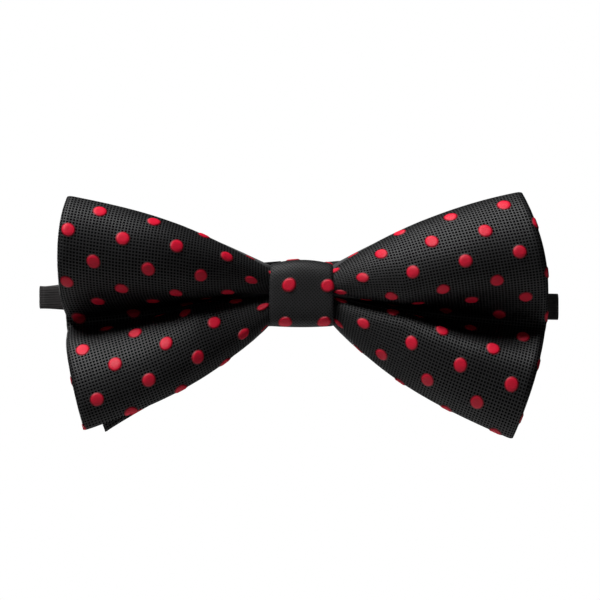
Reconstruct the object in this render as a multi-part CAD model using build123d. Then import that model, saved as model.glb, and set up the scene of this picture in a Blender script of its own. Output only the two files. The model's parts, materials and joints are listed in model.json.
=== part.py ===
from build123d import *
import math
import os

# Pre-tied bow tie, in millimetres. +X runs along the wings, +Z is up as worn, and the
# front faces -Y. The drawing below has the centre of the knot at x = z = 0, and the
# rearmost strap layer ends at y = 0. Each piece is then lifted by datum_lift, so that
# the origin lies on the back of the strap layer folded behind the knot.

# ---- fabric and strap sizes ----
cover_thick = 0.6
liner_thick = 0.35
knot_liner_thick = 0.55
liner_gap = 0.5
liner_margin = 0.02
liner_start_x = 10.0
strap_width = 6.4
strap_thick = 0.5
slip = 0.05
fold_gap = 0.22
wire_radius = 0.62
thread_radius = 0.2
binding_radius = 0.22
binding_corner = 0.8
binding_turns = (-0.7, 0, 0.7)
groove_half_width = 2.0
groove_depth = 0.8

# ---- knot ----
knot_width = 15.8
knot_half_height = 8.1
knot_front_y = -14.7
knot_back_y = -3.8
knot_corner = 2.0
waist_half_height = 6.2
waist_half_width = 7.3
rear_waist_half_width = 7.6
waist_round = 1.5

# ---- depth of the layers, from the back of the strap forward ----
tail_y = -strap_thick / 2
strap_front_y = -5.325
slider_bar_y = -0.95
slider_inner_y = -1.65
leg_y = -2.15
leg_thick = 0.4
first_layer_y = -2.65
eye_bar_y = (tail_y + leg_y) / 2
rear_bow_back_y = -5.75
rear_bow_front_y = -7.35
rear_ply = 0.4
rear_liner_thick = 0.12
rear_liner_gap = 0.2
waist_back_y = -7.6
waist_front_y = -13.0
front_bow_depth = {
    "floor_at_waist": -11.8, "floor_at_edge": -12.4, "ridge": -26.0,
    "wall": 0.2, "gap": 3.4, "puff": 2.0,
}
rear_bow_depth = {
    "floor_at_waist": rear_bow_front_y, "floor_at_edge": rear_bow_front_y, "ridge": -13.5,
    "wall": 0.3, "gap": rear_bow_back_y - rear_bow_front_y, "puff": 0.0,
}

# ---- strap run, folds and tails ----
strap_z = -2.0
run_slope = 1.05
left_tail_slope = 4.585
right_tail_slope = 1.346
left_fold_x = -62.45
right_fold_x = 60.0
left_tail_length = 112.0
right_tail_length = 73.0
slider_at = 54.5
slider_travel = 80.0
leg_length = slider_travel / 2 + 8.0
datum_lift = 4.5

# ---- slider, ring and hook ----
slider_half_length = 3.9
slider_half_width = 4.3
slider_rail = 0.95
slider_corner = 0.8
slider_front_y = -3.65
slider_plate_y = -2.95
slider_back_y = -0.45
slider_bar_radius = 0.4
ring_length = 7.5
ring_corner = 1.1
ring_play = 0.15
hook_ring_length = 4.0
hook_reach = 9.8
hook_bend = 1.5
hook_plate = 0.9
hook_width = 4.0
hook_lip = 5.5

# ---- where strap ends and stitches lie, along the strap from the bar they go round ----
slider_end = 6.0
slider_tacks = (2.6, 4.2)
hook_end = 9.0
hook_tacks = (5.4, 7.2)
eye_end = 2.0
tack_rows = (-2.4, 0, 2.4)
tack_grip = 0.1

# ---- outline of the wings, as Bezier control points (x, z) ----
left_wing = {
    "side": -1,
    "top": [(-7.0, 5.9), (-27.0, 16.4), (-33.0, 19.4), (-57.1, 23.7)],
    "bottom": [(-7.0, -5.9), (-19.0, -19.5), (-32.0, -26.0), (-52.8, -32.6)],
    "outer": [(-57.1, 23.7), (-62.3, 7.7), (-57.4, -16.4), (-52.8, -32.6)],
}
right_wing = {
    "side": 1,
    "top": [(7.0, 5.9), (20.0, 14.6), (35.0, 21.4), (53.9, 24.7)],
    "bottom": [(7.0, -5.9), (19.0, -21.0), (34.8, -28.4), (51.5, -34.8)],
    "outer": [(53.9, 24.7), (63.5, 3.3), (60.9, -10.0), (51.5, -34.8)],
}
left_rear_wing = {
    "side": -1,
    "top": [(-7.0, 5.7), (-25.0, 15.0), (-33.0, 18.0), (-52.0, 21.6)],
    "bottom": [(-7.0, -5.7), (-21.0, -20.4), (-31.0, -23.0), (-47.9, -33.2)],
    "outer": [(-52.0, 21.6), (-57.0, 7.0), (-54.0, -16.0), (-47.9, -33.2)],
}
right_rear_wing = {
    "side": 1,
    "top": [(7.0, 5.7), (20.0, 13.6), (33.0, 19.8), (50.5, 24.2)],
    "bottom": [(7.0, -5.7), (19.0, -19.5), (33.0, -26.5), (47.5, -32.0)],
    "outer": [(50.5, 24.2), (57.0, 3.0), (55.0, -10.0), (47.5, -32.0)],
}

# ---- where the sections of the wings lie: shares of height and of length, degrees of the fold ----
valley_t = 0.47
fold_bulge = 1.7
across = [i / 16 for i in range(17)]
along = [0.06, 0.2, 0.35, 0.5, 0.65, 0.8, 0.92]
fold_angles = [15, 50, 90, 130, 165]


def bezier(points, s):
    """Point of a cubic Bezier curve at s, as (x, z)."""
    a, b, c, d = points
    weights = ((1 - s) ** 3, 3 * s * (1 - s) ** 2, 3 * s * s * (1 - s), s**3)
    return tuple(sum(w * p[i] for w, p in zip(weights, (a, b, c, d))) for i in (0, 1))


def outline_point(wing, s, t):
    """Front view point: s from waist to outer edge, t from bottom to top."""
    top, bottom = bezier(wing["top"], s), bezier(wing["bottom"], s)
    outer = bezier(wing["outer"], 1 - t)
    inner = [wing["bottom"][0][i] * (1 - t) + wing["top"][0][i] * t for i in (0, 1)]
    corners = [
        (1 - s) * inner[i] + s * (wing["bottom"][3][i] * (1 - t) + wing["top"][3][i] * t)
        for i in (0, 1)
    ]
    return tuple(
        t * top[i] + (1 - t) * bottom[i] + (1 - s) * inner[i] + s * outer[i] - corners[i]
        for i in (0, 1)
    )


def ridge_height(s, t, wall_width):
    """Share of the full ridge depth: two ridges with a valley between them. The wall
    of the valley is steep, and the cloth falls back a little towards each edge."""
    away = (t - valley_t) / (1 - valley_t) if t > valley_t else (valley_t - t) / valley_t
    wall = 1 - math.exp(-((away / wall_width) ** 1.5))
    edge_fall = 1 - 0.3 * max(0.0, 2 * away - 1) ** 2
    swell = math.sin(math.pi / 2 * min(1.0, 1.3 * s + 0.04))
    return wall * edge_fall * swell


def front_ply_y(depth, s, t):
    """Outer face of the ply that faces forward."""
    floor = depth["floor_at_waist"] * (1 - s) + depth["floor_at_edge"] * s
    return floor + (depth["ridge"] - floor) * ridge_height(s, t, depth["wall"])


def back_ply_y(depth, s, t):
    """Outer face of the ply behind. It follows the front ply, with room between them."""
    puff = depth["puff"] * math.sin(math.pi * s) * ridge_height(s, t, depth["wall"])
    return front_ply_y(depth, s, t) + depth["gap"] + puff


def section(points, directions, inset, thick):
    """Closed ribbon across the strip, thick wide, inset from the given points."""
    def curve(distance):
        return [
            tuple(p[i] - d[i] * distance for i in range(3))
            for p, d in zip(points, directions)
        ]

    outside, inside = curve(inset), curve(inset + thick)
    edges = [
        Spline(*outside),
        Line(outside[-1], inside[-1]),
        Spline(*inside[::-1]),
        Line(inside[0], outside[0]),
    ]
    return Wire(edges)


def loop_half(wing, depth, inset, thick, shrink, start_s, start_x):
    """One wing of a fabric loop: front ply, outer fold and back ply in one loft.
    The waist end is cut square at start_x, where the strip has the shape it has at start_s."""
    side = wing["side"]
    bulge = min(fold_bulge, depth["gap"] / 2)
    rows = [shrink + (1 - 2 * shrink) * t for t in across]
    stations = [start_s] + [s for s in along if s > start_s]

    def place(s, t):
        x, z = outline_point(wing, s, t)
        return (side * start_x if s == start_s else x - side * bulge * s * s), z

    wires = []
    for s in stations:
        places = [place(s, t) for t in rows]
        points = [(x, front_ply_y(depth, s, t), z) for (x, z), t in zip(places, rows)]
        wires.append(section(points, [(0, -1, 0)] * len(rows), inset, thick))
    for angle in fold_angles:
        c, n = math.cos(math.radians(angle)), math.sin(math.radians(angle))
        points = []
        for t in rows:
            x, z = outline_point(wing, 1, t)
            middle = front_ply_y(depth, 1, t) + depth["gap"] / 2
            points.append((x - side * bulge * (1 - n), middle - depth["gap"] / 2 * c, z))
        wires.append(section(points, [(side * n, -c, 0)] * len(rows), inset, thick))
    for s in stations[::-1]:
        places = [place(s, t) for t in rows]
        points = [(x, back_ply_y(depth, s, t), z) for (x, z), t in zip(places, rows)]
        wires.append(section(points, [(0, 1, 0)] * len(rows), inset, thick))
    return Solid.make_loft(wires, ruled=True)


def block(x0, x1, y0, y1, z0, z1):
    box = Box(x1 - x0, y1 - y0, z1 - z0)
    return Pos((x0 + x1) / 2, (y0 + y1) / 2, (z0 + z1) / 2) * box


def front_bow_cover():
    waist = block(
        -waist_half_width, waist_half_width, waist_front_y, waist_back_y,
        -waist_half_height, waist_half_height,
    )
    waist = fillet(waist.edges().filter_by(Axis.X), waist_round)
    for wing in (left_wing, right_wing):
        waist += loop_half(wing, front_bow_depth, 0, cover_thick, 0, 0, waist_half_width - 0.3)
    return waist


def front_bow_interlining():
    inset = cover_thick + liner_gap
    halves = [
        loop_half(wing, front_bow_depth, inset, liner_thick, liner_margin, along[0], liner_start_x)
        for wing in (left_wing, right_wing)
    ]
    return Compound(halves)


def rear_bow_cover():
    front, back, half = rear_bow_front_y, rear_bow_back_y, rear_waist_half_width
    waist = block(-half, half, front, back, -waist_half_height, waist_half_height)
    groove = block(
        -groove_half_width, groove_half_width, back - groove_depth, back,
        -waist_half_height, waist_half_height,
    )
    shape = waist - groove
    for wing in (left_rear_wing, right_rear_wing):
        shape += loop_half(wing, rear_bow_depth, 0, rear_ply, 0, 0, half - 0.05)
    return shape


def rear_bow_interlining():
    inset = rear_ply + rear_liner_gap
    halves = [
        loop_half(wing, rear_bow_depth, inset, rear_liner_thick, liner_margin, along[0], liner_start_x)
        for wing in (left_rear_wing, right_rear_wing)
    ]
    return Compound(halves)


def knot_ring(depth_inset, thick):
    """Band round the waist: a rounded rectangle drawn across the bow, hollow inside."""
    front, back = knot_front_y + depth_inset, knot_back_y - depth_inset
    height = 2 * (knot_half_height - depth_inset)

    def outline(grow):
        corner = max(knot_corner - depth_inset + grow, 0.6)
        return RectangleRounded(back - front + 2 * grow, height + 2 * grow, corner)

    band = extrude(outline(0) - outline(-thick), amount=knot_width / 2, both=True)
    return Pos(0, (front + back) / 2, 0) * Rot(0, 0, 90) * Rot(90, 0, 0) * band


def knot_wrap():
    return knot_ring(0, cover_thick)


def knot_interlining():
    return knot_ring(cover_thick + slip, knot_liner_thick)


def thread_bar(start, end):
    """Straight stitch thread between two points."""
    path = Line(start, end)
    return sweep(Plane(origin=start, z_dir=path % 0) * Circle(thread_radius), path=path)


def knot_back_stitches():
    y = knot_back_y - 0.15
    bars = [thread_bar((0.5, y, z), (-0.5, y, z + 0.9)) for z in (-6, -4, -2, 0, 2, 4)]
    return Compound([bar.solid() for bar in bars])


def bow_seam_stitches():
    bars = [
        thread_bar((x, waist_back_y - 2.2, z), (x, waist_back_y - 0.1, z))
        for x in (-3, 3) for z in (-4, 0, 4)
    ]
    return Compound([bar.solid() for bar in bars])


def strap_anchor_stitches():
    bars = [
        thread_bar((x, rear_bow_back_y - 1.2, z), (x, strap_front_y + 0.3, z))
        for x in (-4.5, 4.5) for z in (-4, -2, 0)
    ]
    return Compound([bar.solid() for bar in bars])


def waist_binding_thread():
    radius = binding_radius
    front, back = waist_front_y - radius - slip, rear_bow_back_y - radius - slip
    half = waist_half_height + radius + 2 * slip
    ring = Rectangle(back - front, 2 * half)
    path = Wire(fillet(ring.vertices(), binding_corner).edges())
    path = Pos(0, (front + back) / 2, 0) * Rot(0, 0, 90) * Rot(90, 0, 0) * path
    turn = sweep(Plane(origin=path @ 0, z_dir=path % 0) * Circle(radius), path=path)
    return Compound([(Pos(x, 0, 0) * turn).solid() for x in binding_turns])


def neck_strap_centre():
    y0, y1 = strap_front_y - strap_thick / 2, strap_front_y + strap_thick / 2
    run = block(left_fold_x, right_fold_x, y0, y1, -strap_width / 2, strap_width / 2)
    return Pos(0, 0, strap_z) * Rot(0, run_slope, 0) * run


def run_height(x):
    """Height of the strap's centre line at x, on the run through the knot."""
    return strap_z - x * math.tan(math.radians(run_slope))


def hairpin(x_turn, y_mid, radius, thick, front_x, back_x):
    """Strap that turns round a bar at x_turn: straight legs at both sides of the bar.
    radius is to the middle of the strap. The turn bulges away from the legs."""
    way = 1 if front_x < x_turn else -1
    outer, inner = radius + thick / 2, radius - thick / 2
    edges = [
        Line((front_x, y_mid - outer), (x_turn, y_mid - outer)),
        ThreePointArc(
            (x_turn, y_mid - outer), (x_turn + way * outer, y_mid), (x_turn, y_mid + outer)
        ),
        Line((x_turn, y_mid + outer), (back_x, y_mid + outer)),
        Line((back_x, y_mid + outer), (back_x, y_mid + inner)),
        Line((back_x, y_mid + inner), (x_turn, y_mid + inner)),
        ThreePointArc(
            (x_turn, y_mid + inner), (x_turn + way * inner, y_mid), (x_turn, y_mid - inner)
        ),
        Line((x_turn, y_mid - inner), (front_x, y_mid - inner)),
        Line((front_x, y_mid - inner), (front_x, y_mid - outer)),
    ]
    return Face(Wire(edges))


def upright(face, width):
    return extrude(face, amount=width / 2, both=True)


def strap_fold(x, slope, outer_y, inner_y, side):
    """Half turn of the strap at a fold, between the run and the tail."""
    middle, radius = (outer_y + inner_y) / 2, (inner_y - outer_y) / 2
    start = side * fold_gap
    turn = hairpin(start, middle, radius, strap_thick, 0.5 * start, 0.5 * start)
    return Pos(x, 0, run_height(x)) * Rot(0, slope, 0) * upright(turn, strap_width)


def on_left_tail(shape):
    return Pos(left_fold_x, 0, run_height(left_fold_x)) * Rot(0, -left_tail_slope, 0) * shape


def on_right_tail(shape):
    turned = Rot(0, 180 - right_tail_slope, 0) * shape
    return Pos(right_fold_x, 0, run_height(right_fold_x)) * turned


def left_strap_fold():
    tilt = -(left_tail_slope - run_slope) / 2
    return strap_fold(left_fold_x, tilt, strap_front_y, first_layer_y, -1)


def right_strap_fold():
    tilt = -(right_tail_slope - run_slope) / 2
    return strap_fold(right_fold_x, tilt, strap_front_y, tail_y, 1)


def left_strap_tail():
    y0, y1 = first_layer_y - strap_thick / 2, first_layer_y + strap_thick / 2
    layer = block(slip, left_tail_length - 1.0, y0, y1, -strap_width / 2, strap_width / 2)
    return on_left_tail(layer)


def strap_eye_loop():
    radius = (tail_y - leg_y) / 2
    front_end, back_end = left_tail_length - leg_length, left_tail_length - eye_end
    loop = hairpin(left_tail_length, eye_bar_y, radius, leg_thick, front_end, back_end)
    return on_left_tail(upright(loop, strap_width))


def strap_return_layer():
    radius = (tail_y - slider_inner_y) / 2
    back_end = left_tail_length - eye_end - slip
    layer = hairpin(
        slider_at, slider_bar_y, radius, strap_thick, slider_at + slider_end, back_end
    )
    return on_left_tail(upright(layer, strap_width))


def bar_tack(columns, front_y):
    """Rows of stitches through two strap layers, from front_y to the rearmost layer."""
    return [
        thread_bar((x, front_y - tack_grip, z), (x, tail_y + tack_grip, z))
        for x in columns for z in tack_rows
    ]


def slider_bar_tack():
    bars = bar_tack([slider_at + x for x in slider_tacks], slider_inner_y)
    return Compound([on_left_tail(bar).solid() for bar in bars])


def slider_frame():
    """Three-bar slide: flat outer bars in front of the strap, round middle bar behind."""
    half_x, half_z, y0, y1 = slider_half_length, slider_half_width, slider_front_y, slider_back_y
    inner_x, inner_z = half_x - slider_rail, half_z - slider_rail
    frame = block(-half_x, half_x, y0, y1, -half_z, half_z)
    frame -= block(-half_x, half_x, slider_plate_y, y1, -inner_z, inner_z)
    frame -= block(-inner_x, inner_x, y0, y1, -inner_z, inner_z)
    corners = frame.edges().filter_by(Axis.Y).group_by(SortBy.DISTANCE)[-1]
    frame = fillet(corners, slider_corner)
    bar = Pos(0, slider_bar_y, 0) * Cylinder(slider_bar_radius, half_z + inner_z)
    return on_left_tail(Pos(slider_at, 0, 0) * (frame + bar))


def wire_ring(length):
    """Rectangular ring of round wire: its first bar lies on the local Z axis."""
    half = strap_width / 2 + wire_radius + ring_play
    outline = Pos(length / 2, 0, 0) * Rot(90, 0, 0) * Rectangle(length, 2 * half)
    path = Wire(fillet(outline.vertices(), ring_corner).edges())
    return sweep(Plane(origin=path @ 0, z_dir=path % 0) * Circle(wire_radius), path=path)


def eye_ring():
    return on_left_tail(Pos(left_tail_length, eye_bar_y, 0) * wire_ring(ring_length))


def right_strap_tail():
    radius = (tail_y - leg_y) / 2
    front_end = right_tail_length - hook_end
    layer = hairpin(right_tail_length, eye_bar_y, radius, strap_thick, front_end, slip)
    return on_right_tail(upright(layer, strap_width))


def hook_bar_tack():
    bars = bar_tack([right_tail_length - x for x in hook_tacks], leg_y)
    return Compound([on_right_tail(bar).solid() for bar in bars])


def hook():
    """Wire frame on the strap's end with a flat tongue bent back into a hook."""
    lip = hook_reach - hook_lip
    tongue = hairpin(hook_reach, -hook_bend, hook_bend, hook_plate, lip, hook_ring_length)
    shape = wire_ring(hook_ring_length) + upright(tongue, hook_width)
    return on_right_tail(Pos(right_tail_length, eye_bar_y, 0) * shape)


os.makedirs("parts", exist_ok=True)
pieces = [
    front_bow_cover, front_bow_interlining, rear_bow_cover, rear_bow_interlining,
    waist_binding_thread, bow_seam_stitches, strap_anchor_stitches, knot_wrap,
    knot_interlining, knot_back_stitches, neck_strap_centre, left_strap_fold,
    right_strap_fold, left_strap_tail, right_strap_tail, slider_frame,
    strap_return_layer, slider_bar_tack, strap_eye_loop, eye_ring, hook_bar_tack, hook,
]
for piece in pieces:
    export_step(Pos(0, 0, datum_lift) * piece(), f"parts/{piece.__name__}.step")
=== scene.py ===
import json
import math

import bpy
import numpy as np
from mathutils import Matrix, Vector


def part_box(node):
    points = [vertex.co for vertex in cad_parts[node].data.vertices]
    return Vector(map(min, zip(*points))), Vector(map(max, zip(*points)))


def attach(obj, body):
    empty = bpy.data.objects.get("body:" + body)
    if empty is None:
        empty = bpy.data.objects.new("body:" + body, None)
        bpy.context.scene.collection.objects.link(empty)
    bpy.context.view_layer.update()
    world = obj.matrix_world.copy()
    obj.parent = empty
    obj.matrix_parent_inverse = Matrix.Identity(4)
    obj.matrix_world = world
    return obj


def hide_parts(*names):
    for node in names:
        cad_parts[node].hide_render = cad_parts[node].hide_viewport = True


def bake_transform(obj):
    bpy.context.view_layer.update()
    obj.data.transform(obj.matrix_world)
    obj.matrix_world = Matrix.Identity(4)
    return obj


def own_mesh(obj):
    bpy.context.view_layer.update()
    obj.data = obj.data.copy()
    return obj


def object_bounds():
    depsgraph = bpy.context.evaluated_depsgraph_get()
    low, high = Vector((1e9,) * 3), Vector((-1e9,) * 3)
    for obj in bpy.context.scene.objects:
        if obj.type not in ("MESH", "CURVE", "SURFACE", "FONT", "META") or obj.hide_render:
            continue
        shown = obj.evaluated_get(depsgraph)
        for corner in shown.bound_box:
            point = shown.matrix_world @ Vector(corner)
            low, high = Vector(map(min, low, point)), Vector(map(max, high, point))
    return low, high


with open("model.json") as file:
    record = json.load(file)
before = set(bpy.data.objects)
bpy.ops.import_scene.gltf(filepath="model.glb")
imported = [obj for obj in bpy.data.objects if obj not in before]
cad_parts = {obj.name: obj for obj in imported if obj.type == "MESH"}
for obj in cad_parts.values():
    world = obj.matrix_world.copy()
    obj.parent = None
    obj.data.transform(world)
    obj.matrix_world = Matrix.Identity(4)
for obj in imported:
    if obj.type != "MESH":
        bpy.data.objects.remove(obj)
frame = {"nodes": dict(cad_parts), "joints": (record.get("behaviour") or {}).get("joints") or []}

cad_low, cad_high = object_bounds()

# Pre-tied bow tie. Shapes are worked out in millimetres from the centre of the knot, with
# x along the wings, y from front to back and z up, and turned into metres for the meshes.
MM = 0.001
knot_low, knot_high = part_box("knot_wrap")
KNOT_X = (knot_low.x + knot_high.x) / 2 / MM
KNOT_Z = (knot_low.z + knot_high.z) / 2 / MM

# ---- the jacquard cloth, flat ----
band_width = 71.2
dot_pitch = 13.4
dot_radius = 1.76
dot_height = 0.24
dot_slope = 0.45

# ---- weave of the jacquard: pits between lines, fine threads, and the satin of the dots ----
weave_pitch = 0.8
pit_half = 0.19
line_edge = 0.28
thread_pitch = 0.2
satin_pitch = 0.16

# ---- weave of the strap ----
rib_pitch = 0.42
weft_pitch = 0.3

# ---- layers of the bow ----
sheet_thick = 0.9
rear_sheet_thick = 0.5
front_gap = 3.4
rear_gap = 1.6
fold_steps = 9
dent_reach = 3.2
liner_thick = 0.15
front_liner_inset = 1.1
rear_liner_inset = 0.6

# ---- grids of the wings: columns of the front ply and of the back ply, rows across the band ----
front_grid = (112, 26, 144)
rear_grid = (70, 24, 100)
liner_grid = (56, 20, 144)

# ---- knot ----
knot_roll = 1.1
knot_barrel = 1.15
knot_rise = 0.25
knot_crease = 0.16
knot_squareness = 0.52
knot_first_dot = (-3.04, 2.19)
knot_lean = 0.1
knot_liner_thick = 0.5
knot_liner_inset = 1.05
knot_liner_end = 1.2

# ---- strap ----
strap_thick = 0.5
eye_loop_thick = 0.4
left_fold_pinch = 0.14
pinch_reach = 6.0
fold_settle = 12.0
return_steps = 60

# ---- ends of the strap's layers, as distances from the bar that the layer goes round ----
left_tail_end = 1.2
hook_loop_end = 9.0
eye_leg = 48.0
eye_loop_end = 2.0
return_end = 2.05
slider_wrap_end = 6.0
return_start = 8.0

# ---- studio, in metres; the camera's aim is in millimetres from the knot's centre ----
floor_drop = 0.25
floor_radius = 0.35
floor_sides = 96
camera_distance = 2.4
camera_field = 0.146
camera_aim = (-0.37, -1.46)


def node_box(name):
    """Lowest and highest corner of a CAD node, in millimetres from the knot's centre."""
    low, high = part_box(name)
    lift = np.array([KNOT_X, 0.0, KNOT_Z])
    return np.array(low) / MM - lift, np.array(high) / MM - lift


def node_middle(name):
    """Middle of a CAD node's box, in millimetres from the knot's centre."""
    low, high = node_box(name)
    return (low + high) / 2


# ---------------------------------------------------------------- mesh building

def build_mesh(name, points, faces, cloth):
    """Mesh object from points in millimetres, with the cloth coordinates of each point."""
    mesh = bpy.data.meshes.new(name)
    placed = (np.asarray(points, float) + np.array([KNOT_X, 0.0, KNOT_Z])) * MM
    mesh.from_pydata(placed.tolist(), [], [tuple(int(i) for i in face) for face in faces])
    mesh.update()
    layer = mesh.attributes.new("cloth", "FLOAT_VECTOR", "POINT")
    layer.data.foreach_set("vector", np.asarray(cloth, np.float32).ravel())
    for polygon in mesh.polygons:
        polygon.use_smooth = True
    piece = bpy.data.objects.new(name, mesh)
    bpy.context.scene.collection.objects.link(piece)
    return piece


def grid_faces(columns, rows, start, wrap_columns=False, wrap_rows=False, flip=False):
    """Four-sided faces of a grid of points that are stored column by column."""
    faces = []
    for i in range(columns if wrap_columns else columns - 1):
        for j in range(rows if wrap_rows else rows - 1):
            a = start + i * rows + j
            b = start + ((i + 1) % columns) * rows + j
            c = start + ((i + 1) % columns) * rows + (j + 1) % rows
            d = start + i * rows + (j + 1) % rows
            faces.append((a, d, c, b) if flip else (a, b, c, d))
    return faces


def grid_normals(points, wrap_columns=False):
    """Unit normals of a grid of points, from its own rows and columns."""
    if wrap_columns:
        across = np.roll(points, -1, 0) - np.roll(points, 1, 0)
    else:
        across = np.gradient(points, axis=0)
    along = np.gradient(points, axis=1)
    normal = np.cross(across, along)
    return normal / np.maximum(np.linalg.norm(normal, axis=2, keepdims=True), 1e-9)


def sheet(name, outside, cloth, thick, wrap_columns, raised=None):
    """Closed sheet: the outside grid, the same grid moved in by thick, and its edges.
    The outside of the sheet is where the normals of the grid point."""
    columns, rows = outside.shape[:2]
    normal = grid_normals(outside, wrap_columns)
    inside = outside - normal * thick
    if raised is not None:
        outside = outside + normal * raised[..., None]
    size = columns * rows
    points = np.concatenate([outside.reshape(-1, 3), inside.reshape(-1, 3)])
    faces = grid_faces(columns, rows, 0, wrap_columns)
    faces += grid_faces(columns, rows, size, wrap_columns, flip=True)
    steps = columns if wrap_columns else columns - 1
    for i in range(steps):
        a, b = i * rows, ((i + 1) % columns) * rows
        faces.append((a, a + size, b + size, b))
        c, d = a + rows - 1, b + rows - 1
        faces.append((c, d, d + size, c + size))
    if not wrap_columns:
        last = (columns - 1) * rows
        for j in range(rows - 1):
            faces.append((j, j + 1, j + 1 + size, j + size))
            faces.append((last + j, last + j + size, last + j + 1 + size, last + j + 1))
    both = np.concatenate([cloth.reshape(-1, 3), cloth.reshape(-1, 3)])
    return build_mesh(name, points, faces, both)


# ---------------------------------------------------------------- wings

def bezier(points, s):
    """Points of a cubic Bezier curve at each s."""
    s = np.asarray(s, float)[..., None]
    a, b, c, d = np.array(points, float)
    return (1 - s) ** 3 * a + 3 * s * (1 - s) ** 2 * b + 3 * s * s * (1 - s) * c + s**3 * d


def outline_places(wing, s, t):
    """Front view places: s from waist to outer fold (n), t from bottom to top (n by m)."""
    waist_low, waist_top = np.array(wing["bottom"][0]), np.array(wing["top"][0])
    edge_low, edge_top = np.array(wing["bottom"][3]), np.array(wing["top"][3])
    share, height = np.asarray(s)[:, None, None], t[..., None]
    top = bezier(wing["top"], s)[:, None, :]
    bottom = bezier(wing["bottom"], s)[:, None, :]
    outer = bezier(wing["outer"], 1 - t)
    inner = waist_low * (1 - height) + waist_top * height
    corner = (1 - share) * inner + share * (edge_low * (1 - height) + edge_top * height)
    return height * top + (1 - height) * bottom + (1 - share) * inner + share * outer - corner


def tilt(v, wall, edge_top, edge_low, fold):
    """Tilt of the cloth at each v, in radians: above zero it faces up, below it faces down."""
    places = [
        0, fold["crest"], fold["wall"], fold["valley"] - fold["bend"], fold["valley"] + fold["bend"],
        fold["lower_wall"], fold["lower_crest"], band_width,
    ]
    steep = wall * fold["lower_ratio"]
    return np.interp(v, places, [edge_top, 0, -wall, -wall, steep, steep, 0, -edge_low])


def folded_band(wing, fold, s, v):
    """Places of the cloth at s and v. The band keeps its width: at each s the walls of the
    valley are as steep as it takes for the cloth to fit between top and bottom outline."""
    top, bottom = bezier(wing["top"], s), bezier(wing["bottom"], s)
    height = top[:, 1] - bottom[:, 1]
    step, middles = v[1] - v[0], (v[1:] + v[:-1]) / 2
    shares, depths = np.zeros((len(s), len(v))), np.zeros((len(s), len(v)))
    for i, place in enumerate(s):
        inward = 1 - place
        edge_top = fold["edge_top"] + (fold["waist_top"] - fold["edge_top"]) * inward**1.5
        edge_low = fold["edge_low"] + (fold["waist_low"] - fold["edge_low"]) * inward**1.5
        low, high = 0.0, fold["steepest"]
        for _ in range(22):
            wall = (low + high) / 2
            angle = tilt(middles, wall, edge_top, edge_low, fold)
            z = np.concatenate([[0], -np.cumsum(np.cos(angle) * step)])
            if z.max() - z.min() > height[i]:
                low = wall
            else:
                high = wall
        y = np.concatenate([[0], -np.cumsum(np.sin(angle) * step)])
        shares[i] = (z - z.min()) / (z.max() - z.min())
        depths[i] = y - y.min()
    swell = np.sin(np.pi / 2 * np.minimum(1, s / fold["swell_length"]))
    allowed = fold["waist_depth"] + (fold["depth"] - fold["waist_depth"]) * swell
    depths *= np.minimum(1, allowed / depths.max(1))[:, None]
    ridge = fold["waist_y"] + (fold["ridge_y"] - fold["waist_y"]) * np.sin(
        np.pi / 2 * np.minimum(1, 1.3 * s)
    )
    places = outline_places(wing, s, shares)
    dent = fold["dent"] * np.exp(-(((places[..., 1] - fold["dent_z"]) / dent_reach) ** 2))
    places[..., 0] -= wing["side"] * dent * (s**6)[:, None]
    return np.stack([places[..., 0], ridge[:, None] + depths, places[..., 1]], -1)


def loop_wing(wing, fold, gap, columns_front, columns_back, rows):
    """One wing of the looped band: front ply, outer fold and back ply as one grid of places,
    from the waist in front round to the waist behind, with the cloth coordinates."""
    side = wing["side"]
    v = np.linspace(0, band_width, rows)
    s = np.linspace(0, 1, columns_front) ** 0.9
    front = folded_band(wing, fold, s, v)
    front[..., 0] -= side * gap / 2 * (s**4)[:, None]
    runs = np.linalg.norm(np.diff(front, axis=0), axis=2)
    u = np.zeros(front.shape[:2])
    u[:-1] = np.cumsum(runs[::-1], axis=0)[::-1]
    # the back ply lies behind the front one, and the two close up towards the waist
    back_way = side * grid_normals(front)
    apart = gap * np.minimum(1, 0.45 + 2.2 * s)[:, None, None]
    picks = np.linspace(columns_front - 1, 0, columns_back).round().astype(int)
    behind = front + back_way * apart * 0.35
    behind[..., 1] += apart[..., 0] * 0.65
    back = behind[picks]
    outward = front[-1] - front[-2]
    outward /= np.linalg.norm(outward, axis=1, keepdims=True)
    centre, arm = (front[-1] + back[0]) / 2, (front[-1] - back[0]) / 2
    reach = np.linalg.norm(arm, axis=1, keepdims=True)
    turns = [
        centre + arm * math.cos(angle) + outward * reach * math.sin(angle)
        for angle in np.linspace(0, math.pi, fold_steps)[1:-1]
    ]
    places = np.concatenate([front, np.array(turns), back])
    turn_share = np.linspace(0, 1, fold_steps)[1:-1, None]
    turn_u = -np.pi * gap / 2 * turn_share * np.ones((1, rows))
    back_u = -np.pi * gap / 2 - u[picks]
    distance = np.concatenate([u, turn_u, back_u])
    lean = fold["skew"] * np.maximum(0, v - fold["skew_from"]) / (band_width - fold["skew_from"])
    cloth_u = (distance - fold["u_start"] - lean[None, :]) / fold["u_scale"]
    cloth_v = np.ones_like(distance) * (v - fold["v_start"])[None, :]
    cloth = np.stack([cloth_u, cloth_v, np.zeros_like(cloth_u)], -1)
    return places, cloth


def dot_distance(cloth):
    """Distance from each cloth place to the middle of the nearest dot, in millimetres."""
    def to_middle(shift):
        around = (cloth[..., :2] + shift) / dot_pitch
        return np.linalg.norm((around - np.round(around)) * dot_pitch, axis=-1)

    return np.minimum(to_middle(0.0), to_middle(dot_pitch / 2))


def dot_relief(cloth):
    """How far the satin dots stand above the ground of the cloth."""
    edge = np.clip((dot_radius - dot_distance(cloth)) / dot_slope, 0, 1)
    return dot_height * edge * edge * (3 - 2 * edge)


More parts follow.
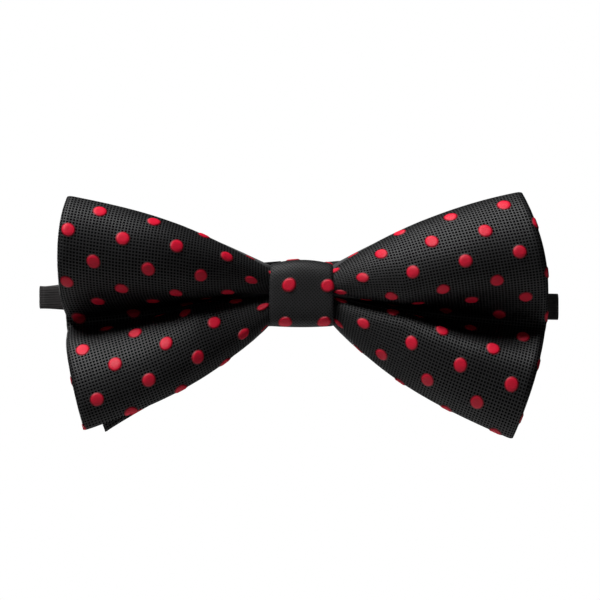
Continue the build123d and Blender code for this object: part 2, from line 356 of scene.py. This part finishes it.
def loop_piece(name, wings, folds, gap, grid, thick, relief):
    """The whole looped band: both wings, joined through the waist in front and behind."""
    grids = [loop_wing(wing, fold, gap, *grid) for wing, fold in zip(wings, folds)]
    (left, left_cloth), (right, right_cloth) = grids
    places = np.concatenate([left, right[::-1]])
    cloth = np.concatenate([left_cloth, right_cloth[::-1]])
    raised = dot_relief(cloth) if relief else None
    return sheet(name, places, cloth, thick, True, raised)


def wing_outline(node, side, top, bottom, outer):
    """Outline of a wing from shares of its CAD box: x from the knot's centre out to the
    wing's end, z from the lowest to the highest point of the box."""
    low, high = node_box(node)
    reach = high[0] if side > 0 else low[0]

    def placed(points):
        return [(x * reach, low[2] + z * (high[2] - low[2])) for x, z in points]

    return {"side": side, "top": placed(top), "bottom": placed(bottom), "outer": placed(outer)}


def front_wings():
    """Outlines of the front wings: edges from the knot outwards, outer folds from the top."""
    left = wing_outline(
        "front_bow_cover", -1,
        top=[(0.118, 0.684), (0.455, 0.861), (0.556, 0.911), (0.962, 0.983)],
        bottom=[(0.118, 0.486), (0.32, 0.257), (0.539, 0.148), (0.89, 0.037)],
        outer=[(0.962, 0.983), (1.05, 0.714), (0.967, 0.309), (0.89, 0.037)],
    )
    right = wing_outline(
        "front_bow_cover", 1,
        top=[(0.117, 0.684), (0.334, 0.83), (0.584, 0.945), (0.899, 1.0)],
        bottom=[(0.117, 0.486), (0.317, 0.232), (0.581, 0.108), (0.859, 0.0)],
        outer=[(0.899, 1.0), (1.059, 0.64), (1.016, 0.417), (0.859, 0.0)],
    )
    return left, right


def rear_wings():
    """Outlines of the rear wings, in the same order."""
    left = wing_outline(
        "rear_bow_cover", -1,
        top=[(0.128, 0.678), (0.459, 0.84), (0.605, 0.892), (0.954, 0.955)],
        bottom=[(0.128, 0.479), (0.385, 0.223), (0.569, 0.178), (0.879, 0)],
        outer=[(0.954, 0.955), (1.045, 0.7), (0.99, 0.3), (0.879, 0.0)],
    )
    right = wing_outline(
        "rear_bow_cover", 1,
        top=[(0.129, 0.678), (0.368, 0.815), (0.606, 0.923), (0.928, 1.0)],
        bottom=[(0.129, 0.479), (0.349, 0.239), (0.606, 0.117), (0.873, 0.021)],
        outer=[(0.928, 1.0), (1.047, 0.631), (1.011, 0.404), (0.873, 0.021)],
    )
    return left, right


def front_folds():
    """How the cloth of each front wing lies: crests, walls and valley as places across the
    band, tilts in radians, and where the dots and the weave start."""
    ridge_y = node_box("front_bow_cover")[0][1]
    shared = {
        "bend": 1.5, "steepest": 1.5, "swell_length": 0.4, "waist_y": -13.5, "waist_depth": 5.0,
        "ridge_y": ridge_y, "depth": 15.0, "dent": 0.0, "dent_z": -6.5,
    }
    left = dict(
        shared, crest=12.9, wall=27.2, valley=38.5, lower_wall=44.1, lower_crest=62.5,
        lower_ratio=1.2, edge_top=0.93, waist_top=2.8, edge_low=0.64, waist_low=1.89,
        u_start=7.31, v_start=3.79, u_scale=1.0, skew=3.26, skew_from=24.9, dent=1.1,
    )
    right = dict(
        shared, crest=18.0, wall=28.9, valley=40.3, lower_wall=49.0, lower_crest=56.0,
        lower_ratio=1.1, edge_top=1.21, waist_top=2.3, edge_low=1.13, waist_low=1.61,
        u_start=4.19, v_start=4.47, u_scale=0.993, skew=-1.17, skew_from=20.0,
    )
    return left, right


def rear_folds():
    """The rear band is folded in the same way, with lower ridges and no dent."""
    changes = {
        "waist_y": -7.3, "waist_depth": 0.4, "ridge_y": node_box("rear_bow_cover")[0][1],
        "depth": 5.6, "u_start": 5.0, "dent": 0.0,
    }
    return [dict(fold, **changes) for fold in front_folds()]


# ---------------------------------------------------------------- knot

def knot_section(node, grow, count):
    """Rounded section of the knot as places (y, z), evenly spaced round the wrap, and the
    distance of each from the middle of the front, positive upwards."""
    low, high = node_box(node)
    middle_y, half_y, half_z = (low[1] + high[1]) / 2, (high[1] - low[1]) / 2, high[2]
    angle = np.linspace(0, 2 * np.pi, 721)
    c, d = np.cos(angle), np.sin(angle)
    y = middle_y - (half_y + grow) * np.sign(c) * np.abs(c) ** knot_squareness
    z = (half_z + grow) * np.sign(d) * np.abs(d) ** knot_squareness
    run = np.concatenate([[0], np.cumsum(np.hypot(np.diff(y), np.diff(z)))])
    along = np.linspace(0, run[-1], count, endpoint=False)
    wrap = np.where(along > run[-1] / 2, along - run[-1], along)
    return np.interp(along, run, y), np.interp(along, run, z), wrap


def knot_wrap():
    """The band round the waist, cut on the bias: a slight barrel with rolled ends."""
    rows, columns = 190, 66
    low, high = node_box("knot_wrap")
    half, middle_y = high[0], (low[1] + high[1]) / 2
    y, z, wrap = knot_section("knot_wrap", 0.0, rows)
    x = np.linspace(-half, half, columns)
    past = np.clip((np.abs(x) - (half - knot_roll)) / knot_roll, 0, 1)
    inward = knot_roll * (1 - np.sqrt(1 - past**2))
    shrink = -knot_barrel * (x / half) ** 2 - inward
    upper = z > 0
    places = np.zeros((columns, rows, 3))
    for i in range(columns):
        rise = shrink[i] * np.where(upper, 1.0, 0.25) + knot_rise * upper
        places[i, :, 0] = x[i]
        places[i, :, 1] = middle_y + (y - middle_y) * (1 + 0.6 * shrink[i] / high[2])
        places[i, :, 2] = z * (1 + rise / high[2])
    # shallow creases on the front of the knot
    ripple = knot_crease * np.sin(x / 2.6 + 0.6)
    places[..., 1] += ripple[:, None] * np.exp(-((wrap / 9) ** 2))[None, :]
    a = x[:, None] - knot_first_dot[0] - knot_lean * (wrap - knot_first_dot[1])[None, :]
    b = (wrap - knot_first_dot[1])[None, :] * np.ones((columns, 1))
    root = math.sqrt(2)
    cloth = np.stack([(a + b) / root, (b - a) / root, np.ones_like(a)], -1)
    return tube_sheet("knot_wrap_cloth", places, cloth, sheet_thick, dot_relief(cloth))


def tube_sheet(name, places, cloth, thick, raised):
    """Closed sheet round a tube: rows run round it, columns along it, with open ends."""
    turned = np.swapaxes(places, 0, 1)[::-1]
    turned_cloth = np.swapaxes(cloth, 0, 1)[::-1]
    lifted = np.swapaxes(raised, 0, 1)[::-1] if raised is not None else None
    return sheet(name, turned, turned_cloth, thick, True, lifted)


def knot_interlining():
    """Plain stiffener inside the knot band."""
    rows, columns = 80, 16
    low, high = node_box("knot_wrap")
    y, z, wrap = knot_section("knot_wrap", -knot_liner_inset, rows)
    x = np.linspace(low[0] + knot_liner_end, high[0] - knot_liner_end, columns)
    places = np.zeros((columns, rows, 3))
    places[..., 0], places[..., 1], places[..., 2] = x[:, None], y[None, :], z[None, :] * 0.97
    around = wrap[None, :] * np.ones((columns, 1))
    cloth = np.stack([places[..., 0], around, np.zeros_like(around)], -1)
    return tube_sheet("knot_interlining_sheet", places, cloth, knot_liner_thick, None)


# ---------------------------------------------------------------- strap

def ribbon(name, centres, width_ways, half_widths, thick):
    """Strap along a line of centres: flat, with rounded edges, closed at both ends."""
    centres = np.asarray(centres, float)
    tangent = np.gradient(centres, axis=0)
    tangent /= np.linalg.norm(tangent, axis=1, keepdims=True)
    normal = np.cross(tangent, width_ways)
    normal /= np.linalg.norm(normal, axis=1, keepdims=True)
    angle = np.linspace(0, 2 * np.pi, 28, endpoint=False)
    across = np.sign(np.cos(angle)) * np.abs(np.cos(angle)) ** 0.45
    deep = np.sign(np.sin(angle)) * np.abs(np.sin(angle)) ** 0.8
    length = np.concatenate([[0], np.cumsum(np.linalg.norm(np.diff(centres, axis=0), axis=1))])
    points = (
        centres[:, None, :]
        + width_ways[:, None, :] * (across[None, :] * half_widths[:, None])[..., None]
        + normal[:, None, :] * (deep * thick / 2)[None, :, None]
    )
    columns, rows = points.shape[:2]
    cloth = np.zeros((columns, rows, 3))
    cloth[..., 0] = length[:, None]
    cloth[..., 1] = across[None, :] * half_widths[:, None]
    cloth[..., 2] = deep[None, :]
    faces = grid_faces(columns, rows, 0, wrap_rows=True, flip=True)
    faces.append(tuple(range(rows)))
    faces.append(tuple(range((columns - 1) * rows, columns * rows))[::-1])
    return build_mesh(name, points.reshape(-1, 3), faces, cloth.reshape(-1, 3))


def joint_named(name):
    """A joint as it was packed."""
    return next(joint for joint in frame["joints"] if joint["name"] == name)


class StrapLayer:
    """A straight strap layer: turns local places (x along, y deep) into the frame."""

    def __init__(self, start, way):
        self.start, self.way = np.array(start, float), np.array(way, float)
        self.across = np.array([-way[2], 0.0, way[0]]) * (1 if way[0] > 0 else -1)

    def place(self, x, y):
        return self.start + self.way * x + np.array([0.0, y, 0.0])


def hairpin_path(layer, turn_x, y_front, y_back, front_x, back_x):
    """Line round a bar at turn_x, from front_x on the front leg to back_x on the back leg."""
    way = 1 if front_x < turn_x else -1
    middle, radius = (y_front + y_back) / 2, (y_back - y_front) / 2
    front = [layer.place(x, y_front) for x in np.linspace(front_x, turn_x, 24)]
    turn = [
        layer.place(turn_x + way * radius * math.sin(a), middle - radius * math.cos(a))
        for a in np.linspace(0, math.pi, 15)[1:-1]
    ]
    back = [layer.place(x, y_back) for x in np.linspace(turn_x, back_x, 40)]
    return np.array(front + turn + back)


def strap_layers():
    """The run through the knot and both tails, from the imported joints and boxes."""
    travel = joint_named("slider_adjust")["axis"]
    left_low = node_box("left_strap_tail")[0]
    run_low, run_high = node_box("neck_strap_centre")
    strap_half = node_half_width("left_strap_tail", travel)
    left_way = np.array(travel, float)
    left_start = np.array([left_low[0], 0.0, left_low[2] + strap_half * left_way[0]])
    hook_pivot = pivot_of("hook_swing")
    run_drop = (run_high[2] - run_low[2]) - 2 * strap_half
    run_slope = math.atan2(run_drop, run_high[0] - run_low[0])
    run_way = np.array([math.cos(run_slope), 0.0, -math.sin(run_slope)])
    run_middle = (run_low + run_high) / 2
    right_start = np.array([run_high[0], 0.0, run_middle[2] + run_way[2] * run_high[0]])
    right_way = hook_pivot - right_start
    right_way[1] = 0
    right_way /= np.linalg.norm(right_way)
    run_start = np.array([0.0, 0.0, run_middle[2]])
    return {
        "half": strap_half,
        "run_right": StrapLayer(run_start, run_way),
        "run_left": StrapLayer(run_start, -run_way),
        "left": StrapLayer(left_start, left_way),
        "right": StrapLayer(right_start, right_way),
        "left_length": float(np.dot(pivot_of("eye_swing") - left_start, left_way)),
        "right_length": float(np.dot(hook_pivot - right_start, right_way)),
    }


def pivot_of(name):
    """Pivot of a hinge, in millimetres from the knot's centre."""
    return np.array(joint_named(name)["pos_m"]) / MM - np.array([KNOT_X, 0.0, KNOT_Z])


def node_half_width(name, way):
    """Half the width of a strap that runs along way, from its box."""
    low, high = node_box(name)
    length, height = high[0] - low[0], high[2] - low[2]
    slope = math.atan2(way[2], way[0])
    rise = math.tan(slope)
    width = (height - length * rise) / (math.cos(slope) - math.sin(slope) * rise)
    return width / 2


def folded_strap(name, run, tail, fold_x, y_front, y_tail, tail_end, half, pinch):
    """One half of the neck strap: from the knot out to the fold and back along the tail. It
    is narrower by pinch at the fold, and behind it it settles onto the tail's own line."""
    radius = (y_tail - y_front) / 2
    crease = run.place(fold_x, 0)
    centres = [run.place(x, y_front) for x in np.linspace(0, fold_x, 60)]
    for angle in np.linspace(0, math.pi, 17)[1:-1]:
        y = (y_front + y_tail) / 2 - radius * math.cos(angle)
        centres.append(crease + run.way * radius * math.sin(angle) + np.array([0, y, 0]))
    drift = crease - tail.start
    for x in np.linspace(0, tail_end, 90):
        centres.append(tail.place(x, y_tail) + drift * max(0.0, 1 - x / fold_settle))
    centres = np.array(centres)
    ways = np.tile((0.0, 0.0, 1.0), (len(centres), 1))
    tangent = np.gradient(centres, axis=0)
    ways -= tangent * (np.sum(ways * tangent, 1) / np.sum(tangent * tangent, 1))[:, None]
    ways /= np.linalg.norm(ways, axis=1, keepdims=True)
    near = np.exp(-(((centres[:, 0] - crease[0]) / pinch_reach) ** 2))
    return ribbon(name, centres, ways, half * (1 - pinch * near), strap_thick)


def strap_piece(name, path, layer, half, thick):
    """Strap along a path in one layer, with its width across the layer."""
    ways = np.tile(layer.across, (len(path), 1))
    return ribbon(name, path, ways, np.full(len(path), half), thick)


def blend_at_fold(piece):
    """Bakes the piece's own transform into its mesh."""
    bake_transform(piece)


def neck_strap(layers, half, run_y, tail_y):
    """The strap from the knot to both folds and back along the tails."""
    run_low, run_high = node_box("neck_strap_centre")
    first_y = node_middle("left_strap_tail")[1]
    left = folded_strap(
        "neck_strap_left", layers["run_left"], layers["left"], abs(run_low[0]), run_y, first_y,
        layers["left_length"] - left_tail_end, half, left_fold_pinch,
    )
    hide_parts("neck_strap_centre", "left_strap_fold", "left_strap_tail")
    blend_at_fold(left)
    right = folded_strap(
        "neck_strap_right", layers["run_right"], layers["right"], run_high[0], run_y, tail_y,
        layers["right_length"] - hook_loop_end, half, 0.0,
    )
    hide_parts("right_strap_fold")
    blend_at_fold(right)
    return [left, right]


def hook_strap_loop(layers, half, tail_y):
    """The end of the right tail, sewn round the bar of the hook."""
    leg_y = node_box("right_strap_tail")[0][1] + strap_thick / 2
    turn_x = layers["right_length"]
    start_x = turn_x - hook_loop_end
    path = hairpin_path(layers["right"], turn_x, leg_y, tail_y, start_x, start_x)
    piece = strap_piece("strap_hook_loop", path, layers["right"], half, strap_thick)
    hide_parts("right_strap_tail")
    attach(piece, "right_tail")
    return piece


def eye_strap_loop(layers, half):
    """The strap that turns round the bar of the eye ring."""
    low, high = node_box("strap_eye_loop")
    front_y, back_y = low[1] + eye_loop_thick / 2, high[1] - eye_loop_thick / 2
    turn_x = layers["left_length"]
    path = hairpin_path(
        layers["left"], turn_x, front_y, back_y, turn_x - eye_leg, turn_x - eye_loop_end
    )
    piece = strap_piece("strap_eye_loop_ribbon", path, layers["left"], half, eye_loop_thick)
    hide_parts("strap_eye_loop")
    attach(piece, "eye_loop")
    return piece


def return_strap(layers, half):
    """The strap's end round the slider's bar, and the layer that comes back from the eye, both
    carried by the slider."""
    left = layers["left"]
    slider_at = float(np.dot(node_middle("slider_frame") - left.start, left.way))
    low, high = node_box("strap_return_layer")
    inner_y, outer_y = low[1] + strap_thick / 2, high[1] - strap_thick / 2
    path = hairpin_path(
        left, slider_at, inner_y, outer_y, slider_at + slider_wrap_end, slider_at + return_start
    )
    wrap = strap_piece("strap_slider_wrap", path, left, half, strap_thick)
    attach(wrap, "slider")

    reach = np.linspace(slider_at + return_start, layers["left_length"] - return_end, return_steps)
    path = np.array([left.place(x, outer_y) for x in reach])
    layer = strap_piece("strap_return_ribbon", path, left, half, strap_thick)
    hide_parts("strap_return_layer")
    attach(layer, "slider")
    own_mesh(layer)
    return [wrap, layer]


def build_strap():
    """Neck strap pieces, each on the body that carries it."""
    layers = strap_layers()
    half = layers["half"]
    run_y = node_middle("neck_strap_centre")[1]
    tail_y = node_box("right_strap_tail")[1][1] - strap_thick / 2
    pieces = neck_strap(layers, half, run_y, tail_y)
    pieces.append(hook_strap_loop(layers, half, tail_y))
    pieces.append(eye_strap_loop(layers, half))
    return pieces + return_strap(layers, half)


# ---------------------------------------------------------------- materials

class Nodes:
    """Short names for building a material's node tree."""

    def __init__(self, name):
        self.material = bpy.data.materials.new(name)
        self.material.use_nodes = True
        self.tree = self.material.node_tree
        self.tree.nodes.clear()

    def add(self, kind, **settings):
        node = self.tree.nodes.new(kind)
        for key, value in settings.items():
            setattr(node, key, value)
        return node

    def join(self, source, target):
        self.tree.links.new(source, target)

    def feed(self, socket, value):
        if isinstance(value, bpy.types.NodeSocket):
            self.join(value, socket)
        else:
            socket.default_value = value

    def math(self, operation, a, b=0.0, c=0.0):
        node = self.add("ShaderNodeMath", operation=operation)
        for socket, value in zip(node.inputs, (a, b, c)):
            self.feed(socket, value)
        return node.outputs[0]

    def smooth(self, value, low, high, to_low=0.0, to_high=1.0):
        node = self.add("ShaderNodeMapRange", interpolation_type="SMOOTHSTEP")
        for key, item in (("Value", value), ("From Min", low), ("From Max", high)):
            self.feed(node.inputs[key], item)
        node.inputs["To Min"].default_value = to_low
        node.inputs["To Max"].default_value = to_high
        return node.outputs[0]

    def colour(self, factor, first, second):
        node = self.add("ShaderNodeMix", data_type="RGBA")
        self.feed(node.inputs[0], factor)
        self.feed(node.inputs[6], first)
        self.feed(node.inputs[7], second)
        return node.outputs[2]

    def number(self, factor, first, second):
        node = self.add("ShaderNodeMix", data_type="FLOAT")
        self.feed(node.inputs[0], factor)
        self.feed(node.inputs[2], first)
        self.feed(node.inputs[3], second)
        return node.outputs[0]

    def noise(self, vector, scale, detail=2.0):
        node = self.add("ShaderNodeTexNoise")
        self.join(vector, node.inputs["Vector"])
        node.inputs["Scale"].default_value = scale
        node.inputs["Detail"].default_value = detail
        return node.outputs["Fac"]

    def cloth(self):
        """Cloth coordinates in millimetres: along the band, across it, and the vector. The
        third coordinate is kept as bias: 1 on cloth that is cut on the bias."""
        place = self.add("ShaderNodeAttribute", attribute_name="cloth")
        parts = self.add("ShaderNodeSeparateXYZ")
        self.join(place.outputs["Vector"], parts.inputs[0])
        self.bias = parts.outputs[2]
        return parts.outputs[0], parts.outputs[1], place.outputs["Vector"]

    def repeat(self, value, pitch):
        """Distance from the nearest multiple of pitch, with its sign."""
        return self.math("WRAP", value, pitch / 2, -pitch / 2)

    def finish(self, colour, roughness, height, depth_m, sheen=0.0, **extra):
        shader = self.add("ShaderNodeBsdfPrincipled")
        self.feed(shader.inputs["Base Color"], colour)
        self.feed(shader.inputs["Roughness"], roughness)
        shader.inputs["Sheen Weight"].default_value = sheen
        shader.inputs["Specular IOR Level"].default_value = 0.3
        for key, value in extra.items():
            self.feed(shader.inputs[key.replace("_", " ")], value)
        if height is not None:
            bump = self.add("ShaderNodeBump")
            bump.inputs["Distance"].default_value = depth_m
            self.feed(bump.inputs["Height"], height)
            self.join(bump.outputs[0], shader.inputs["Normal"])
        output = self.add("ShaderNodeOutputMaterial")
        self.join(shader.outputs[0], output.inputs["Surface"])
        return self.material


def rgb(r, g, b):
    return (r, g, b, 1.0)


def lattice_distance(nodes, u, v):
    """Distance to the nearest dot: two square grids, one shifted by half a pitch."""
    found = []
    for shift in (0.0, dot_pitch / 2):
        du = nodes.repeat(nodes.math("ADD", u, shift), dot_pitch)
        dv = nodes.repeat(nodes.math("ADD", v, shift), dot_pitch)
        squares = nodes.math("ADD", nodes.math("MULTIPLY", du, du), nodes.math("MULTIPLY", dv, dv))
        found.append(nodes.math("SQRT", squares))
    return nodes.math("MINIMUM", *found)


def uneven(nodes, vector, size, depth):
    """Noise of one size with its middle at nought."""
    return nodes.math("MULTIPLY", nodes.math("SUBTRACT", nodes.noise(vector, *size), 0.5), depth)


def wave(nodes, value, period):
    return nodes.math("SINE", nodes.math("MULTIPLY", value, 2 * math.pi / period))


def weave_pits(nodes, u, v, vector):
    """The square pits of the weave: 1 in a pit, 0 on the lines between them. The mask also sets where
    the painted shade of the pits goes.
    """
    wobble = uneven(nodes, vector, (1.1, 1.0), 0.10)
    fine = nodes.math("MULTIPLY_ADD", nodes.bias, 0.35, 1.0)
    away = []
    for place in (u, v):
        place = nodes.math("MULTIPLY", nodes.math("ADD", place, wobble), fine)
        away.append(nodes.math("ABSOLUTE", nodes.repeat(place, weave_pitch)))
    pit = nodes.smooth(nodes.math("MAXIMUM", *away), pit_half, line_edge, 1.0, 0.0)
    return nodes.math("MULTIPLY", pit, nodes.math("MULTIPLY_ADD", nodes.bias, -0.4, 1.0))


def jacquard():
    """Black ground of raised lines round small square pits, whose near-black colour is painted shade,
    with satin red dots. Cloth that is cut on the bias shows a finer and softer weave."""
    nodes = Nodes("dotted_jacquard_cloth")
    u, v, vector = nodes.cloth()
    pit = weave_pits(nodes, u, v, vector)
    threads = nodes.math("MULTIPLY", wave(nodes, u, thread_pitch), wave(nodes, v, thread_pitch))
    mottle = nodes.noise(vector, 0.9, 3.0)
    line = nodes.colour(mottle, rgb(0.0085, 0.0085, 0.0093), rgb(0.0180, 0.0180, 0.0188))
    # pits painted near black: painted shade inside the recesses between the raised lines, weaker on
    # bias cloth
    ground = nodes.colour(pit, line, rgb(0.0004, 0.0004, 0.0005))
    step_edge = uneven(nodes, vector, (4.0, 0.0), 0.16)
    distance = nodes.math("ADD", lattice_distance(nodes, u, v), step_edge)
    dot = nodes.smooth(distance, dot_radius - 0.05, dot_radius + 0.05, 1.0, 0.0)
    rim = nodes.smooth(distance, dot_radius - 0.34, dot_radius - 0.22)
    dome = nodes.smooth(distance, dot_radius - 0.40, dot_radius + 0.05, 1.0, 0.0)
    satin = wave(nodes, v, satin_pitch)
    streak = nodes.noise(stretched(nodes, vector, (0.5, 9.0, 1.0)), 1.0, 2.0)
    shade = nodes.math("ADD", nodes.math("MULTIPLY", satin, 0.12), streak)
    light_red = nodes.smooth(shade, 0.2, 0.8)
    red = nodes.colour(light_red, rgb(0.56, 0.005, 0.026), rgb(0.74, 0.010, 0.042))
    red = nodes.colour(rim, red, rgb(0.20, 0.004, 0.012))
    colour = nodes.colour(dot, ground, red)
    lines = nodes.math("SUBTRACT", 1.0, pit)
    weave = nodes.math("MULTIPLY_ADD", threads, 0.12, lines)
    satin_height = nodes.math("MULTIPLY_ADD", satin, 0.10, nodes.math("MULTIPLY_ADD", dome, 1.0, 0.8))
    height = nodes.number(dot, weave, satin_height)
    roughness = nodes.number(dot, nodes.number(pit, 0.48, 0.9), 0.42)
    gloss = nodes.number(dot, nodes.number(pit, 0.35, 0.0), 0.2)
    return nodes.finish(colour, roughness, height, 0.00010, Specular_IOR_Level=gloss)


def stretched(nodes, vector, scale):
    """Coordinates with a scale of their own along each axis."""
    node = nodes.add("ShaderNodeVectorMath", operation="MULTIPLY")
    nodes.join(vector, node.inputs[0])
    node.inputs[1].default_value = scale
    return node.outputs[0]


def strap_ribbon_cloth():
    """Fine ribs along the strap, a plain selvedge at both edges and a soft satin sheen."""
    nodes = Nodes("strap_ribbon_cloth")
    u, v, vector = nodes.cloth()
    rib = wave(nodes, v, rib_pitch)
    weft = wave(nodes, u, weft_pitch)
    mottle = nodes.noise(stretched(nodes, vector, (0.25, 3.0, 1.0)), 1.0, 3.0)
    edge = nodes.smooth(nodes.math("ABSOLUTE", v), 2.75, 2.95)
    tone = nodes.math("ADD", nodes.math("MULTIPLY", rib, 0.22), mottle)
    tone = nodes.smooth(tone, 0.2, 0.9)
    colour = nodes.colour(tone, rgb(0.008, 0.0075, 0.0075), rgb(0.034, 0.031, 0.031))
    colour = nodes.colour(edge, colour, rgb(0.030, 0.028, 0.028))
    height = nodes.math("ADD", nodes.math("MULTIPLY", rib, 0.5), nodes.math("MULTIPLY", weft, 0.25))
    return nodes.finish(colour, 0.5, height, 0.00005, sheen=0.05)


def interlining_cloth():
    """Matt non-woven: a felt of short fibres."""
    nodes = Nodes("interlining_cloth")
    vector = nodes.cloth()[2]
    fibres = nodes.noise(stretched(nodes, vector, (3.0, 0.8, 1.0)), 1.5, 5.0)
    colour = nodes.colour(fibres, rgb(0.018, 0.018, 0.019), rgb(0.055, 0.055, 0.058))
    return nodes.finish(colour, 0.9, fibres, 0.0001, sheen=0.1)


def object_place(nodes):
    """Place on a CAD node, in metres."""
    place = nodes.add("ShaderNodeTexCoord")
    return place.outputs["Object"]


def thread_cloth():
    """Two-ply sewing thread: slanted lay lines."""
    nodes = Nodes("black_thread_twist")
    place = object_place(nodes)
    lay = nodes.noise(stretched(nodes, place, (9000.0, 3000.0, 9000.0)), 1.0, 1.0)
    colour = nodes.colour(lay, rgb(0.006, 0.006, 0.007), rgb(0.04, 0.04, 0.042))
    return nodes.finish(colour, 0.6, lay, 0.00005, sheen=0.1)


def black_metal():
    """Black enamelled wire: fine orange peel, scuffs, and a little bare metal at wear spots."""
    nodes = Nodes("black_metal_enamel")
    place = object_place(nodes)
    peel = nodes.noise(place, 2600.0, 2.0)
    scuff = nodes.noise(stretched(nodes, place, (900.0, 900.0, 260.0)), 1.0, 4.0)
    worn = nodes.smooth(scuff, 0.66, 0.72)
    colour = nodes.colour(worn, rgb(0.010, 0.010, 0.011), rgb(0.12, 0.12, 0.125))
    roughness = nodes.number(worn, nodes.number(scuff, 0.22, 0.42), 0.5)
    return nodes.finish(colour, roughness, peel, 0.00002, Metallic=nodes.number(worn, 0.0, 0.8))


def paint(piece, material):
    """Cloth on a piece that is made here."""
    piece.data.materials.clear()
    piece.data.materials.append(material)


def paint_cad(node_names, material):
    """One material on CAD nodes that keep their own shape."""
    for name in node_names:
        node = frame["nodes"][name]
        for slot in node.material_slots:
            slot.material = material
        if not node.material_slots:
            node.data.materials.append(material)


# ---------------------------------------------------------------- build

def dress_bow_piece(piece, node, material):
    """A cloth piece that stands for a CAD node and moves with the bow."""
    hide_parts(node)
    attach(piece, "bow")
    paint(piece, material)


def wing_liners(name, wings, folds, gap, inset):
    """Interlining inside both wings of one loop, short of the cloth's edges."""
    pieces = []
    for wing, fold, side in zip(wings, folds, ("left", "right")):
        places, coords = loop_wing(wing, fold, gap, *liner_grid)
        if wing["side"] > 0:
            places, coords = places[::-1], coords[::-1]
        places = places - grid_normals(places) * inset
        places, coords = places[:, 1:-1], coords[:, 1:-1]
        pieces.append(sheet(f"{name}_{side}", places, coords, liner_thick, False))
    return pieces


def build_bow():
    """The two loops, the knot, and the interlining inside them."""
    cloth = jacquard()
    liner = interlining_cloth()
    front = loop_piece(
        "front_bow", front_wings(), front_folds(), front_gap, front_grid, sheet_thick, True
    )
    dress_bow_piece(front, "front_bow_cover", cloth)
    rear = loop_piece(
        "rear_bow", rear_wings(), rear_folds(), rear_gap, rear_grid, rear_sheet_thick, False
    )
    dress_bow_piece(rear, "rear_bow_cover", cloth)
    dress_bow_piece(knot_wrap(), "knot_wrap", cloth)
    dress_bow_piece(knot_interlining(), "knot_interlining", liner)
    front_liners = wing_liners(
        "front_interlining", front_wings(), front_folds(), front_gap, front_liner_inset
    )
    for piece in front_liners:
        dress_bow_piece(piece, "front_bow_interlining", liner)
    rear_liners = wing_liners(
        "rear_interlining", rear_wings(), rear_folds(), rear_gap, rear_liner_inset
    )
    for piece in rear_liners:
        dress_bow_piece(piece, "rear_bow_interlining", liner)


def dress_strap():
    """Ribbed ribbon on every piece of the neck strap."""
    strap = strap_ribbon_cloth()
    for piece in build_strap():
        paint(piece, strap)


def dress_cad():
    """Materials of the metal fittings and the sewing, which keep their CAD shapes."""
    paint_cad(["slider_frame", "eye_ring", "hook"], black_metal())
    threads = [
        "waist_binding_thread", "bow_seam_stitches", "strap_anchor_stitches", "knot_back_stitches",
        "slider_bar_tack", "hook_bar_tack",
    ]
    paint_cad(threads, thread_cloth())


# ---------------------------------------------------------------- studio

def area_light(name, place, target, size, power):
    """Round soft light that points at the target."""
    light = bpy.data.lights.new(name, "AREA")
    light.shape, light.size, light.energy = "DISK", size, power
    lamp = bpy.data.objects.new(name, light)
    lamp.location = place
    way = np.array(target) - np.array(place)
    lamp.rotation_mode = "QUATERNION"
    lamp.rotation_quaternion = Vector(way).to_track_quat("-Z", "Y")
    bpy.context.scene.collection.objects.link(lamp)


def studio_floor():
    """Pale round floor, some way under the object."""
    turn = np.linspace(0, 2 * math.pi, floor_sides, endpoint=False)
    floor_z = cad_low[2] - floor_drop
    points = [(floor_radius * math.cos(a), floor_radius * math.sin(a), floor_z) for a in turn]
    mesh = bpy.data.meshes.new("studio_floor")
    mesh.from_pydata(points, [], [tuple(range(floor_sides))])
    floor = bpy.data.objects.new("studio_floor", mesh)
    bpy.context.scene.collection.objects.link(floor)
    pale = Nodes("studio_pale")
    mesh.materials.append(pale.finish(rgb(0.8, 0.8, 0.8), 0.9, None, 0.0))


def white_surround():
    """White for the camera, and nearly dark as a light on the object."""
    world = bpy.data.worlds.new("studio_world")
    bpy.context.scene.world = world
    world.use_nodes = True
    tree = world.node_tree
    background = tree.nodes["Background"]
    background.inputs[0].default_value = rgb(1.0, 1.0, 1.0)
    seen = tree.nodes.new("ShaderNodeLightPath")
    strength = tree.nodes.new("ShaderNodeMapRange")
    strength.inputs["To Min"].default_value = 0.03
    strength.inputs["To Max"].default_value = 1.0
    tree.links.new(seen.outputs["Is Camera Ray"], strength.inputs["Value"])
    tree.links.new(strength.outputs[0], background.inputs[1])


def front_camera(middle):
    """A long lens straight in front, aimed a little left of the knot and below it."""
    camera = bpy.data.cameras.new("camera")
    camera.lens = camera.sensor_width * camera_distance / camera_field
    camera.clip_end = 20
    view = bpy.data.objects.new("camera", camera)
    look_x, look_z = (KNOT_X + camera_aim[0]) * MM, (KNOT_Z + camera_aim[1]) * MM
    view.location = (look_x, middle[1] - camera_distance, look_z)
    view.rotation_euler = (math.pi / 2, 0, 0)
    bpy.context.scene.collection.objects.link(view)
    bpy.context.scene.camera = view


def studio():
    """Floor, white surround, camera, and three lights: a strong one from the upper left in
    front, a weak one from the left in front, and one from the left behind."""
    middle = [(cad_low[i] + cad_high[i]) / 2 for i in range(3)]
    studio_floor()
    white_surround()
    area_light("key_light", (middle[0] - 0.35, -0.25, middle[2] + 0.8), middle, 0.3, 14.0)
    area_light("front_light", (middle[0] - 0.4, -1.3, middle[2] + 0.3), middle, 0.4, 0.3)
    area_light("rear_light", (middle[0] - 0.4, 1.0, middle[2]), middle, 0.4, 3.0)
    front_camera(middle)
    bpy.context.scene.view_settings.view_transform = "Standard"


build_bow()
dress_strap()
dress_cad()
studio()
